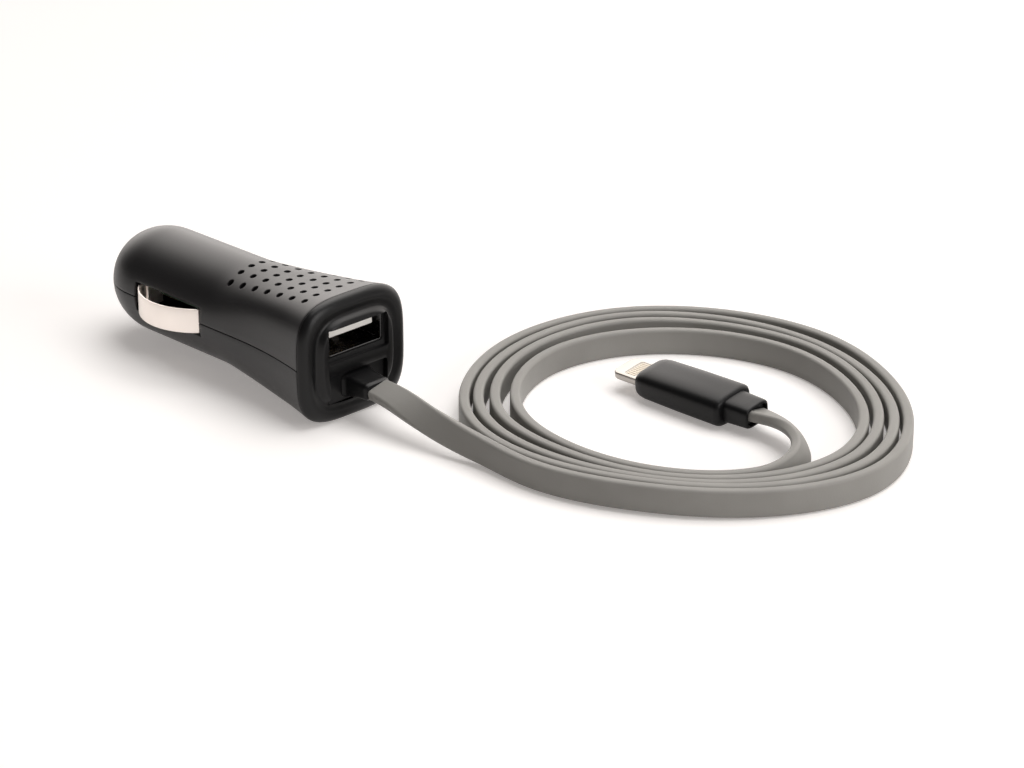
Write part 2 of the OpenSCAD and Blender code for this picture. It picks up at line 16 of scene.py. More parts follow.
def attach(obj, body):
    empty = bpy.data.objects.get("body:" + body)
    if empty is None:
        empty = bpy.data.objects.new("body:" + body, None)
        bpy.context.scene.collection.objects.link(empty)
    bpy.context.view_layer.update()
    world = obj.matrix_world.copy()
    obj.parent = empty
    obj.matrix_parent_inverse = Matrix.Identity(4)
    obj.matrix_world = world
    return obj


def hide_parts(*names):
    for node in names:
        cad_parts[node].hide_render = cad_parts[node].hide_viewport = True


MM = 0.001
ROUGH_SPREAD = 0.06
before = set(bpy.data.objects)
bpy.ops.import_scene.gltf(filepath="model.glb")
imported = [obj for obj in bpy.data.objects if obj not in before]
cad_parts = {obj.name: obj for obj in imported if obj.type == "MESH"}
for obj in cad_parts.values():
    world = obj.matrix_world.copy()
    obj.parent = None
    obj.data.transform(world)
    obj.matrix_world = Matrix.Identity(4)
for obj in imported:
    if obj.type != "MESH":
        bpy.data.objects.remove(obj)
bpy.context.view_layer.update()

# %% [markdown]
# ## The camera
#
# The camera was fitted to the corners of the USB port, the parting line and the outlines of the
# barrel and the coil. Its distance of 0.6 m is a choice, and so is the barrel's width of about
# 21 mm, which suits a vehicle socket. It looks down at 23 degrees from the front right, through a
# long lens, so that parallel edges stay almost parallel.

# %% Place the camera
cam_data = bpy.data.cameras.new("view")
cam_data.lens = 112.28
cam_data.sensor_width = 36.0
cam_data.clip_start = 0.01
cam_data.dof.use_dof = False
camera = bpy.data.objects.new("view", cam_data)
bpy.context.scene.collection.objects.link(camera)
bpy.context.scene.camera = camera
RIGHT, UP, BACK = (0.70734, 0.70687, 0.0), (-0.28054, 0.28072, 0.91787), (0.64882, -0.64925, 0.39687)
axes = Matrix([[RIGHT[i], UP[i], BACK[i], (0.4288, -0.3592, 0.2381)[i]] for i in range(3)]
              + [[0, 0, 0, 1]])
camera.matrix_world = axes
print("camera at", [round(v, 4) for v in camera.matrix_world.translation])

# %% [markdown]
# ## Helpers
#
# Most pieces here are moulded or pressed, so their surfaces are grids: a row of sections along a
# line, each with the same number of points. One function turns such a grid into a mesh, and a few
# more give it rounded edges, a body to ride and a material.

# %% Mesh helpers
def new_object(name, verts_mm, faces):
    """Mesh object from points in mm (n, 3) and faces as index lists."""
    mesh = bpy.data.meshes.new(name)
    mesh.from_pydata((np.asarray(verts_mm, float) * MM).tolist(), [], faces)
    mesh.validate()
    mesh.update()
    obj = bpy.data.objects.new(name, mesh)
    bpy.context.scene.collection.objects.link(obj)
    return obj


def grid_faces(n, m, closed=True, base=0):
    """Quads of n sections of m points each: point (i, j) is number base + i m + j."""
    i = np.arange(n - 1)[:, None]
    j = np.arange(m if closed else m - 1)[None, :]
    k = (j + 1) % m
    quads = np.stack([i * m + j, i * m + k, (i + 1) * m + k, (i + 1) * m + j], -1) + base
    return quads.reshape(-1, 4).tolist()


def loft(sections, caps=True, base=0):
    """Faces and points of a tube through sections (n, m, 3), its ends closed by flat faces."""
    s = np.asarray(sections, float)
    n, m = s.shape[:2]
    faces = grid_faces(n, m, True, base)
    if caps:
        faces.append([base + j for j in range(m)][::-1])
        faces.append([base + (n - 1) * m + j for j in range(m)])
    return s.reshape(-1, 3), faces


def join(*parts):
    """One point list and one face list from several (points, faces) pairs."""
    points, faces, base = [], [], 0
    for p, f in parts:
        points.append(np.asarray(p, float))
        faces += [[base + v for v in face] for face in f]
        base += len(p)
    return np.concatenate(points), faces


def outward(obj):
    """Turns all faces of a closed mesh outwards."""
    bm = bmesh.new()
    bm.from_mesh(obj.data)
    bmesh.ops.recalc_face_normals(bm, faces=bm.faces)
    bm.to_mesh(obj.data)
    bm.free()


def bake(obj):
    """Replaces an object's mesh by what its modifiers make of it."""
    graph = bpy.context.evaluated_depsgraph_get()
    mesh = bpy.data.meshes.new_from_object(obj.evaluated_get(graph))
    obj.modifiers.clear()
    obj.data = mesh


def bevel(obj, width_mm, segments=2, angle=40):
    """Rounds every edge that is sharper than the angle."""
    mod = obj.modifiers.new("edges", "BEVEL")
    mod.width = width_mm * MM
    mod.segments = segments
    mod.limit_method = "ANGLE"
    mod.angle_limit = np.radians(angle)
    mod.use_clamp_overlap = True


def cut(obj, *cutters):
    """Takes the cutters out of a closed mesh, and removes them from the scene."""
    for c in cutters:
        outward(c)
        mod = obj.modifiers.new("cut", "BOOLEAN")
        mod.operation = "DIFFERENCE"
        mod.solver = "EXACT"
        mod.object = c
    bake(obj)
    for c in cutters:
        bpy.data.objects.remove(c)


def smooth(obj, angle=35):
    """Shades smoothly across every edge flatter than the angle."""
    obj.data.polygons.foreach_set("use_smooth", np.ones(len(obj.data.polygons), bool))
    obj.data.set_sharp_from_angle(angle=np.radians(angle))


def finish_piece(obj, body, slot, material, *nodes, angle=35):
    """Gives a piece its shading, body and material, in place of some CAD nodes; slot is not used."""
    smooth(obj, angle)
    obj.data.materials.clear()
    obj.data.materials.append(material)
    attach(obj, body)
    if nodes:
        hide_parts(*nodes)
    print(f"{obj.name}: {len(obj.data.vertices)} points, {len(obj.data.polygons)} faces")


def rounded(w, h, r, steps=6):
    """Rounded rectangle w by h round the origin as (n, 2), counter-clockwise."""
    a = np.radians(np.linspace(0, 90, steps + 1))
    quarter = np.stack([np.cos(a), np.sin(a)], -1) * r
    out = []
    for k, (sx, sy) in enumerate(((1, 1), (-1, 1), (-1, -1), (1, -1))):
        c, s = np.cos(k * np.pi / 2), np.sin(k * np.pi / 2)
        turn = np.array([[c, s], [-s, c]])
        out.append(quarter @ turn + np.array([sx * (w / 2 - r), sy * (h / 2 - r)]))
    return np.concatenate(out)


def bar_sections(xs, w, h, r, z, inset=None, steps=6):
    """Sections across X of a rounded bar round y = 0 at height z, each with its own inset."""
    inset = np.zeros(len(xs)) if inset is None else np.asarray(inset, float)
    rows = [rounded(w - 2 * e, h - 2 * e, max(r - e, 0.02), steps) for e in inset]
    return np.stack([np.column_stack([np.full(len(q), x), q[:, 0], z + q[:, 1]])
                     for x, q in zip(xs, rows)])


# %% [markdown]
# ## Materials
#
# A helper makes a material from its real finish: a base colour, a slow change of that colour in
# patches the size of a mould's flow marks, a fine grain as bump, and a roughness that varies a
# little. All patterns read the object's own coordinates in metres, so a grain of 0.2 mm stays
# 0.2 mm wherever the piece goes.

# %% Material helpers
def linear(hex_colour):
    """Linear colour of an sRGB hex: ((c + 0.055) / 1.055)^2.4 above 0.04045, else c / 12.92."""
    c = np.array([int(hex_colour[i:i + 2], 16) / 255 for i in (1, 3, 5)])
    out = np.where(c > 0.04045, ((c + 0.055) / 1.055) ** 2.4, c / 12.92)
    return (*out.tolist(), 1.0)


def add(tree, kind, **inputs):
    """Adds a node and sets its inputs: a socket links, any other value is stored."""
    made = tree.nodes.new(kind)
    for key, value in inputs.items():
        name = key.replace("_", " ")
        if name in made.inputs:
            if isinstance(value, bpy.types.NodeSocket):
                tree.links.new(value, made.inputs[name])
            else:
                made.inputs[name].default_value = value
        else:
            setattr(made, key, value)
    return made


def surface(name, hex_colour, rough, grain_mm=0.2, bump=0.1, vary=0.06, patch_mm=6.0,
            metal=0.0, stretch=(1, 1, 1), spec=None):
    """Material of one finish: patches of colour patch_mm wide and a bump grain of grain_mm."""
    mat = bpy.data.materials.new(name)
    mat.use_nodes = True
    tree = mat.node_tree
    tree.nodes.clear()
    where = add(tree, "ShaderNodeTexCoord")
    spread = add(tree, "ShaderNodeMapping", Vector=where.outputs["Object"], Scale=stretch)
    grain = add(tree, "ShaderNodeTexNoise", Vector=spread.outputs[0], Scale=1 / (grain_mm * MM),
                Detail=3.0, Roughness=0.6)
    patches = add(tree, "ShaderNodeTexNoise", Vector=where.outputs["Object"],
                  Scale=1 / (patch_mm * MM), Detail=2.0)
    base = linear(hex_colour)
    low = tuple(v * (1 - vary) for v in base[:3]) + (1.0,)
    high = tuple(min(1, v * (1 + vary)) for v in base[:3]) + (1.0,)
    tone = add(tree, "ShaderNodeValToRGB", Fac=patches.outputs["Fac"])
    tone.color_ramp.elements[0].position, tone.color_ramp.elements[0].color = 0.3, low
    tone.color_ramp.elements[1].position, tone.color_ramp.elements[1].color = 0.7, high
    rough_map = add(tree, "ShaderNodeMapRange", Value=grain.outputs["Fac"])
    rough_map.inputs["To Min"].default_value = max(0.02, rough - ROUGH_SPREAD)
    rough_map.inputs["To Max"].default_value = min(1.0, rough + ROUGH_SPREAD)
    relief = add(tree, "ShaderNodeBump", Height=grain.outputs["Fac"], Strength=bump)
    relief.inputs["Distance"].default_value = grain_mm * MM * 0.5
    shader = add(tree, "ShaderNodeBsdfPrincipled", Base_Color=tone.outputs["Color"],
                 Roughness=rough_map.outputs[0], Normal=relief.outputs[0])
    shader.inputs["Metallic"].default_value = metal
    if spec is not None:
        shader.inputs["Specular IOR Level"].default_value = spec
    out = add(tree, "ShaderNodeOutputMaterial")
    tree.links.new(shader.outputs[0], out.inputs["Surface"])
    return mat


def paint_shade_inside(mat, mouth_mm, depth_mm, share):
    """Painted shade: lowers a colour to a share of it over a depth behind a mouth on the charger's
    axis.
    """
    tree = mat.node_tree
    shader = next(n for n in tree.nodes if n.type == "BSDF_PRINCIPLED")
    tone = shader.inputs["Base Color"].links[0].from_socket
    where = add(tree, "ShaderNodeTexCoord")
    split = add(tree, "ShaderNodeSeparateXYZ", Vector=where.outputs["Object"])
    fade = add(tree, "ShaderNodeMapRange", Value=split.outputs["X"])
    fade.inputs["From Min"].default_value = (mouth_mm - depth_mm) * MM
    fade.inputs["From Max"].default_value = mouth_mm * MM
    fade.inputs["To Min"].default_value = share
    shaded = add(tree, "ShaderNodeVectorMath", operation="SCALE", Vector=tone,
               Scale=fade.outputs[0])
    tree.links.new(shaded.outputs[0], shader.inputs["Base Color"])


# %% Make the materials
# ABS moulded in a finely spark-eroded tool: a soft, wide highlight over a fine grain
abs_black = surface("moulded ABS, black", "#161517", 0.37, grain_mm=0.22, bump=0.12, vary=0.05,
                    spec=0.42)
# The cap is the same plastic, a shade smoother
cap_black = surface("moulded ABS, cap", "#0d0d0e", 0.33, grain_mm=0.18, bump=0.08, vary=0.05,
                    spec=0.27)
# Soft PVC over the cable's end and the plug
pvc_black = surface("soft PVC, black", "#0f0f10", 0.38, grain_mm=0.3, bump=0.1, vary=0.08,
                    spec=0.2)
# Grey jacket of the flat cable
pvc_grey = surface("cable jacket, grey PVC", "#8d8b87", 0.52, grain_mm=0.35, bump=0.12,
                   vary=0.05, patch_mm=9.0, spec=0.28)
# Stamped spring steel with a pale nickel plating
nickel = surface("nickel plated spring steel", "#fcf3ec", 0.36, grain_mm=0.12, bump=0.05,
                 vary=0.03, metal=0.85, stretch=(0.2, 1, 1))
# Sheet steel, drawn and plated; painted shade darkens its inside, which gets little light
steel = surface("drawn steel of the port", "#cfcfd0", 0.28, grain_mm=0.15, bump=0.05, vary=0.04,
                metal=1.0, stretch=(0.15, 1, 1))
# Painted shade: the port's steel falls to a tenth of its colour behind a mouth at 32.5 mm
paint_shade_inside(steel, 32.5, 1.2, 0.1)
# Hard drawn wire of the pin's spring
wire = surface("drawn spring wire", "#b9b9ba", 0.3, grain_mm=0.1, bump=0.04, metal=1.0)
# Pads with a thin pale gold plating
champagne = surface("gold plated contact pads", "#a49c8e", 0.32, grain_mm=0.1, bump=0.03, metal=1.0)
# Stamped brass of the contacts and the spring cup
brass = surface("stamped brass", "#d9b66a", 0.3, grain_mm=0.1, bump=0.04, metal=1.0)
# White moulded plastic that carries the port's contacts
white = surface("white moulded tongue", "#f6f3ee", 0.4, grain_mm=0.2, bump=0.05, vary=0.02)
# Board, parts and cans inside, seen only through the openings
solder_mask = surface("green solder mask", "#173f26", 0.35, grain_mm=0.25, bump=0.08)
moulded_part = surface("moulded component body", "#262628", 0.6, grain_mm=0.15, bump=0.15)
can = surface("drawn aluminium can", "#c6c8ca", 0.32, grain_mm=0.15, bump=0.05, metal=1.0)
# Bead blasted metal of the plug, and the pale insert round its contacts
tip_metal = surface("bead blasted plug tip", "#aaa5a0", 0.34, grain_mm=0.1, bump=0.08, metal=1.0)
insert_white = surface("pale moulded insert", "#e9e1d6", 0.45, grain_mm=0.2, bump=0.05)
print("materials:", len(bpy.data.materials))

# %% [markdown]
# ## The cable
#
# The cable is a flat grey PVC cord, 5.1 mm wide and 2 mm thick, extruded round two pairs of
# wires. It leaves the strain relief nearly level, turns on its edge, and lies in a little over
# four rings before it enters the device plug. A real one is wound round a hand and tied, so the
# rings aren't circles. Here its centre line goes through listed points, as a distance and
# a direction from the middle of the coil, and a natural cubic spline joins them.
#
# A spline keeps the bend smooth, as a springy cord does. The section is a rounded rectangle with
# most of its points on its round corners, where the light runs along the strands.

# %% Cable route
MID = np.array([73.5, 41.0])
CABLE_W, CABLE_T, CABLE_EDGE = 5.1, 2.0, 0.6
RADII = [41.2, 40.7, 42.65, 44.4, 41.0, 38.9, 40.2, 41.7, 42.9, 41.8, 40.4, 40.3,
         39.15, 38.65, 40.55, 41.6, 38.4, 35.95, 36.3, 38.3, 40.3, 39.0, 37.9, 37.5,
         36.3, 36.6, 38.5, 38.6, 35.6, 33.7, 34.25, 35.35, 37.25, 36.3, 35.0, 34.3,
         32.9, 34.2, 36.1, 36.2, 32.9, 30.5, 30.5, 30.9, 31.8, 32.3, 31.3, 30.7,
         30.5, 32.1, 34.0]
LEAD = [[35.5, 0.0, 6.9, 14], [38.5, -0.05, 6.75, 18], [42.0, -0.15, 6.35, 28],
        [46.0, -0.2, 5.6, 42], [50.0, -0.2, 4.9, 56], [54.0, -0.1, 4.3, 68],
        [58.0, 0.05, 3.8, 78], [62.3, 0.2, 3.4, 86]]
TAIL = [[105.0, 27.9, 2.8, 85], [105.7, 31.5, 3.2, 76], [105.0, 35.3, 3.5, 69],
        [103.0, 38.9, 3.7, 63], [99.6, 42.0, 3.8, 56], [95.5, 44.4, 3.8, 41],
        [91.3, 45.6, 3.7, 23], [86.4, 45.8, 3.6, 10]]


def bump_at(u, u0, width):
    """exp(-((u - u0) / width)^2), a smooth rise round u0."""
    return np.exp(-((u - u0) / width) ** 2)


def coil_points():
    """Points of the coil, one each 30 degrees from the near side on, with height and roll."""
    k = np.arange(len(RADII))
    a, u, r = np.radians(-90 + 30 * k), k / 12, np.array(RADII)
    z = 2.6 + 0.6 * (bump_at(u, 0.06, .12) + bump_at(u, 1.06, .12)) + 0.3 * bump_at(u, 2.06, .12)
    return np.stack([MID[0] + r * np.cos(a), MID[1] + r * np.sin(a), z, np.full(len(k), 90.)], -1)


def natural_spline(points, step):
    """Natural cubic spline over chord length through (n, k) points, sampled every step.

    The second derivatives m solve h[i-1] m[i-1] + 2 (h[i-1] + h[i]) m[i] + h[i] m[i+1]
    = 6 ((p[i+1] - p[i]) / h[i] - (p[i] - p[i-1]) / h[i-1]), with m = 0 at both ends.
    """
    p = np.asarray(points, float)
    h = np.linalg.norm(np.diff(p[:, :3], axis=0), axis=1)
    t = np.r_[0, np.cumsum(h)]
    n = len(p)
    a, rhs = np.eye(n), np.zeros_like(p)
    i = np.arange(1, n - 1)
    a[i, i - 1], a[i, i], a[i, i + 1] = h[i - 1], 2 * (h[i - 1] + h[i]), h[i]
    slope = np.diff(p, axis=0) / h[:, None]
    rhs[i] = 6 * (slope[i] - slope[i - 1])
    m = np.linalg.solve(a, rhs)
    x = np.linspace(0, t[-1], int(t[-1] / step) + 1)
    k = np.clip(np.searchsorted(t, x, side="right") - 1, 0, n - 2)
    d, e = (x - t[k])[:, None], (t[k + 1] - x)[:, None]
    hk = h[k][:, None]
    return (m[k] * e ** 3 / (6 * hk) + m[k + 1] * d ** 3 / (6 * hk)
            + (p[k] / hk - m[k] * hk / 6) * e + (p[k + 1] / hk - m[k + 1] * hk / 6) * d)


route = natural_spline(np.vstack([LEAD, coil_points(), TAIL]), 1.0)
cable_length = np.linalg.norm(np.diff(route[:, :3], axis=0), axis=1).sum()
print("cable route:", len(route), "rings,", round(cable_length), "mm")


# %% Cable mesh
def section_frame(q):
    """Along, width and thickness vectors of each ring, turned by its roll about the route."""
    along = np.gradient(q[:, :3], axis=0)
    along /= np.linalg.norm(along, axis=1)[:, None]
    side = np.cross([0, 0, 1], along)
    side /= np.linalg.norm(side, axis=1)[:, None]
    up = np.cross(along, side)
    f = np.radians(q[:, 3])[:, None]
    wide = np.cos(f) * side + np.sin(f) * up
    return along, wide, np.cross(along, wide)


def flat_section(w, t, r):
    """Section of a flat cord: rounded corners and one point in the middle of each flat."""
    q = rounded(w, t, r, 5)
    return np.concatenate([q[:6], [[0.0, t / 2]], q[6:18], [[0.0, -t / 2]], q[18:]])


along, wide, thick = section_frame(route)
outline = flat_section(CABLE_W, CABLE_T, CABLE_EDGE)
rings = (route[:, None, :3] + outline[None, :, :1] * wide[:, None, :]
         + outline[None, :, 1:] * thick[:, None, :])
cable = new_object("flat_cable", *loft(rings))
outward(cable)
finish_piece(cable, "charger", "cable", pvc_grey, "cable_lead", "cable_coil", "cable_tail",
             angle=60)

# %% [markdown]
# ## The housing
#
# The housing is two ABS shells that meet at mid height. Its nose and barrel are round, to slide
# into a socket, and towards the front the section flares and turns into a squared one. The section
# is a superellipse, whose power grows from 2 (a circle) to 3.6.
#
# The upper shell has six rows of seven vent holes. The grid's lines follow the rows, so that each
# hole sits in a square patch of its own, and its edge stays a true circle.

# %% Housing form
X_FACE, AXIS_Z = 30.5, 12.0
SLOT_B, SLOT_L, SLOT_H = 42.4, 19.0, 5.9
WALL = 1.6
VENT_B, VENT_STEP, VENT_COLS, VENT_ROWS, VENT_R = 6.6, 3.55, 7, 6, 0.65
PART_GAP = 0.17
NOSE_FROM, NOSE_R = 54.0, 10.4
NOSE_A = 10.5 / np.sqrt(1 - (4.2 / NOSE_R) ** 2)


def smoothstep(t):
    """3 t^2 - 2 t^3 on t clipped to 0..1."""
    c = np.clip(t, 0, 1)
    return c * c * (3 - 2 * c)


def body_size(b):
    """Half width, half height and power of the section at a distance b behind the front."""
    b = np.asarray(b, float)
    flare = np.clip((23.0 - b) / 20.4, 0, 1) ** 2
    drafted = 10.45 - 0.05 * np.clip((b - 30.6) / 21.6, 0, 1)
    nose = NOSE_R * np.sqrt(np.clip(1 - ((b - NOSE_FROM) / NOSE_A) ** 2, 0, 1))
    r = np.where(b > NOSE_FROM, nose, drafted)
    return r + 2.45 * flare, r + 1.55 * flare, 2 + 1.6 * smoothstep((31.6 - b) / 21.75)


def vent_gap(b):
    """Distance between the vent rows, which narrows from 2.8 mm to 2.6 mm down the barrel."""
    t = np.clip((np.asarray(b, float) - VENT_B) / (VENT_STEP * (VENT_COLS - 1)), 0, 1)
    return 2.8 - 0.2 * t


def top_point(b, y):
    """Point of the upper surface over (b, y): z = axis + h (1 - |y / w|^n)^(1/n)."""
    w, h, n = body_size(b)
    z = h * np.clip(1 - np.abs(y / w) ** n, 0, 1) ** (1 / n)
    return np.stack([X_FACE - b, y, AXIS_Z + z], -1)


def half_grid(bs, per_gap=6, low=5, high=9):
    """Grid of the upper half of the section at each b, from the -Y parting edge to the +Y one."""
    b = np.asarray(bs, float)[:, None]
    w, h, n = body_size(b)
    s = np.linspace(-3, 3, 6 * per_gap + 1)[None, :]
    edge = 3 * vent_gap(b) / np.maximum(w, 10.45)
    y_top = s / 3 * edge * w
    a_edge = np.arccos(edge ** (n / 2))
    slot = np.arcsin(SLOT_H / 2 / 10.43)
    lower = np.linspace(0, 1, low + 1)[None, :] * slot
    upper = slot + (a_edge - slot) * np.linspace(0, 1, high + 1)[None, 1:-1]
    a = np.concatenate([np.broadcast_to(lower, (len(b), low + 1)), upper], 1)
    y_side, z_side = w * np.cos(a) ** (2 / n), h * np.sin(a) ** (2 / n)
    z_top = h * np.clip(1 - np.abs(y_top / w) ** n, 0, 1) ** (1 / n)
    y = np.concatenate([-y_side, y_top, y_side[:, ::-1]], 1)
    z = np.concatenate([z_side, z_top, z_side[:, ::-1]], 1)
    z[:, [0, -1]] = PART_GAP / 2
    return np.stack([np.broadcast_to(X_FACE - b, y.shape), y, AXIS_Z + z], -1)


vent_lines = VENT_B - VENT_STEP / 2 + VENT_STEP / 6 * np.arange(6 * VENT_COLS + 1)
front_lines = [2.6, 3.2, 3.8, 4.3]
lines = np.concatenate([
    front_lines, vent_lines, [30.3, 31.0, 31.9],
    np.linspace(SLOT_B - SLOT_L / 2, SLOT_B + SLOT_L / 2, 13), [52.3, 53.1],
    NOSE_FROM + 10.5 * np.sin(np.linspace(0, np.pi / 2, 15))])
LOW, HIGH, PER, FIRST = 5, 9, 6, len(front_lines)
SIDE = LOW + HIGH
grid = half_grid(lines, PER, LOW, HIGH)
ROWS, COLS = grid.shape[:2]
print("housing grid:", ROWS, "by", COLS)


# %% Shells with vents and slots
def shell_faces(rows, cols, vents):
    """Quads of a half shell without the slot's, and without the vent squares' if it has vents."""
    keep = np.ones((rows - 1, cols - 1), bool)
    mid = (lines[1:] + lines[:-1]) / 2
    in_slot = (mid > SLOT_B - SLOT_L / 2) & (mid < SLOT_B + SLOT_L / 2)
    keep[np.ix_(in_slot, np.r_[0:LOW, cols - 1 - LOW:cols - 1])] = False
    if vents:
        keep[FIRST:FIRST + 6 * VENT_COLS, SIDE:SIDE + 36] = False
    i, j = np.nonzero(keep)
    quads = np.stack([i * cols + j, i * cols + j + 1, (i + 1) * cols + j + 1, (i + 1) * cols + j],
                     -1)
    return quads.tolist()


def vent_patch(col, row, points, faces, start):
    """Rings of quads between a vent's circle and its square of the grid."""
    i0, j0 = FIRST + 6 * col, SIDE + 6 * row
    border = ([(i0, j0 + k) for k in range(6)] + [(i0 + k, j0 + 6) for k in range(6)]
              + [(i0 + 6, j0 + 6 - k) for k in range(6)] + [(i0 + 6 - k, j0) for k in range(6)])
    ids = np.array([i * COLS + j for i, j in border])
    edge = grid.reshape(-1, 3)[ids]
    b = VENT_B + col * VENT_STEP
    centre = np.array([X_FACE - b, (row - (VENT_ROWS - 1) / 2) * vent_gap(b)])
    ray = edge[:, :2] - centre
    circle = centre + VENT_R * ray / np.linalg.norm(ray, axis=1)[:, None]
    loops = [ids]
    for t in (0.45, 0.12, 0.0):
        xy = circle + t * (edge[:, :2] - circle)
        p = top_point(X_FACE - xy[:, 0], xy[:, 1])
        loops.append(start + np.arange(24))
        points.append(p)
        start += 24
    for outer, inner in zip(loops, loops[1:]):
        k = np.arange(24)
        n = (k + 1) % 24
        faces += np.stack([outer[k], outer[n], inner[n], inner[k]], -1).tolist()
    return start


def make_shell(name, sign):
    """One half of the housing, thickened inwards, with rounded edges."""
    points, faces = [grid.reshape(-1, 3)], shell_faces(ROWS, COLS, sign > 0)
    start = ROWS * COLS
    if sign > 0:
        for col in range(VENT_COLS):
            for row in range(VENT_ROWS):
                start = vent_patch(col, row, points, faces, start)
    last = grid[-1]
    radial = last[:, 1:] - np.array([0, AXIS_Z])
    radial /= np.linalg.norm(radial, axis=1)[:, None]
    for r in (3.9, 3.3, 2.3):
        ring = np.column_stack([last[:, 0], radial * r + np.array([0, AXIS_Z])])
        points.append(ring)
    prev = (ROWS - 1) * COLS
    for k in range(3):
        here = start + k * COLS
        j = np.arange(COLS - 1)
        faces += np.stack([prev + j, prev + j + 1, here + j + 1, here + j], -1).tolist()
        prev = here
    p = np.concatenate(points)
    if sign < 0:
        p[:, 2] = 2 * AXIS_Z - p[:, 2]
        faces = [f[::-1] for f in faces]
    obj = new_object(name, p, faces)
    bm = bmesh.new()
    bm.from_mesh(obj.data)
    loose = [v for v in bm.verts if not v.link_faces]
    bmesh.ops.delete(bm, geom=loose, context="VERTS")
    bm.to_mesh(obj.data)
    bm.free()
    up = np.mean([f.normal.z for f in obj.data.polygons])
    if up * sign < 0:
        obj.data.flip_normals()
    mod = obj.modifiers.new("wall", "SOLIDIFY")
    mod.thickness = WALL * MM
    mod.offset = -1
    mod.use_even_offset = True
    bake(obj)
    bevel(obj, 0.16, 2, 50)
    bake(obj)
    return obj


upper = make_shell("housing_upper", 1)
lower = make_shell("housing_lower", -1)
finish_piece(upper, "charger", "housing", abs_black, "upper_shell")
finish_piece(lower, "charger", "housing", abs_black, "lower_shell")

# %% [markdown]
# ## The front cap
#
# The cap is a separate moulding glued over the shells' open end. A thick rounded rim runs round
# it, inside that a shallow groove, and in the middle a flat panel with two pockets: the upper one
# holds the USB port and the lower one the plate of the cable's strain relief. Its spigot holds it
# inside the shells.

# %% Front cap
CAP_W, CAP_H, CAP_N = 25.8, 24.0, 3.6
RIM_B, RIM_R, DIP, DIP_W = 0.9, 2.0, 0.25, 2.6


def ellipse_ring(x, w, h, n, z=AXIS_Z, m=144):
    """Superellipse ring across X: y = w cos(a)^(2/n), z = z0 + h sin(a)^(2/n), with signs."""
    a = 2 * np.pi * (np.arange(m) + 0.5) / m
    c, s = np.cos(a), np.sin(a)
    y = w * np.sign(c) * np.abs(c) ** (2 / n)
    zz = z + h * np.sign(s) * np.abs(s) ** (2 / n)
    return np.column_stack([np.full(m, x), y, zz])


def cap_profile():
    """Distance behind the face and inset, from the back edge over the rim and the groove."""
    rim = [(RIM_B + 1.5 * (1 - np.sin(a)), RIM_R * (1 - np.cos(a)))
           for a in np.radians(np.arange(0, 91, 9))]
    dip = [(RIM_B + DIP * np.sin(np.radians(15 * k)) ** 2, RIM_R + DIP_W * k / 12)
           for k in range(1, 7)]
    rise = [((RIM_B + DIP) * np.sin(np.radians(15 * k)) ** 2, RIM_R + DIP_W * k / 12)
            for k in range(7, 13)]
    return [(2.6, 0.2), (2.52, 0.06)] + rim + dip + rise


def box_cutter(b0, b1, w, h, r, z):
    """Rounded bar along X, to cut a pocket."""
    return new_object("cutter", *loft(bar_sections([X_FACE - b0, X_FACE - b1], w, h, r, z)))


cap = new_object("front_bezel", *loft([
    ellipse_ring(X_FACE - b, CAP_W / 2 - e, CAP_H / 2 - e, CAP_N) for b, e in cap_profile()]))
outward(cap)
cut(cap, box_cutter(-1, 1.0, 14.8, 6.6, 0.5, 15.45), box_cutter(0.9, 4, 13.3, 5.9, 0.4, 16.1),
    box_cutter(-1, 4, 14.0, 5.9, 0.5, 6.9))
bevel(cap, 0.14, 2, 32)
bake(cap)
spigot = join(*[loft([np.array(r) for r in rows], caps=False) for rows in (
    [ellipse_ring(X_FACE - b, *(np.array(body_size(b)[:2]) - 1.7 - e), float(body_size(b)[2]))
     for b, e in ((2.3, 0), (4.0, 0), (5.8, 0), (5.8, 1.1), (4.0, 1.1), (2.3, 1.1), (2.3, 0))],)])
spigot_obj = new_object("spigot", *spigot)
with bpy.context.temp_override(active_object=cap, selected_editable_objects=[cap, spigot_obj]):
    bpy.ops.object.join()
finish_piece(cap, "charger", "cap", cap_black, "front_cap", angle=30)

# %% [markdown]
# ## Side contacts
#
# Each side contact is a strip of spring steel 0.4 mm thick, bowed out through its slot and folded
# round a post inside, where it can flex. Plating gives it a pale, soft shine. The strip is a grid
# along its middle line, and its long edges are rounded, as a stamped edge is after plating.

# %% Side contacts
def contact_line():
    """Middle line of the strip as (x, y), from its rear lip over the bow to the fold and tab."""
    bow_y, r = 10.45 + 3.3 - 12.0, 12.0
    end = SLOT_L / 2 - 0.5
    a_end = np.arccos((end - 0.2) / r)
    a = np.linspace(a_end, np.pi - a_end, 41)
    bow = np.column_stack([-SLOT_B + (r - 0.2) * np.cos(a), bow_y + (r - 0.2) * np.sin(a)])
    root_y = bow[0, 1]
    lip = np.array([[bow[0, 0], root_y - 1.0], [bow[0, 0] + 0.01, root_y - 0.35]])
    fx, fy = -(SLOT_B + end - 0.2), 7.85
    fold = np.array([[fx, root_y - 0.5], [fx, 9.0], [fx + 0.02, 8.3], [fx + 0.25, fy],
                     [fx + 0.25, 7.0], [fx + 0.25, 4.4]])
    pts = np.concatenate([lip, bow, fold])
    return np.column_stack([X_FACE + pts[:, 0], pts[:, 1]])


def strip(line, height, thickness, z, edge=0.13):
    """Strip along a plan line: rounded rectangle sections that stand upright."""
    d = np.gradient(line, axis=0)
    d /= np.linalg.norm(d, axis=1)[:, None]
    normal = np.column_stack([-d[:, 1], d[:, 0]])
    q = rounded(thickness, height, edge, 3)
    s = np.zeros((len(line), len(q), 3))
    s[:, :, :2] = line[:, None] + q[None, :, :1] * normal[:, None]
    s[:, :, 2] = z + q[None, :, 1]
    return loft(s)


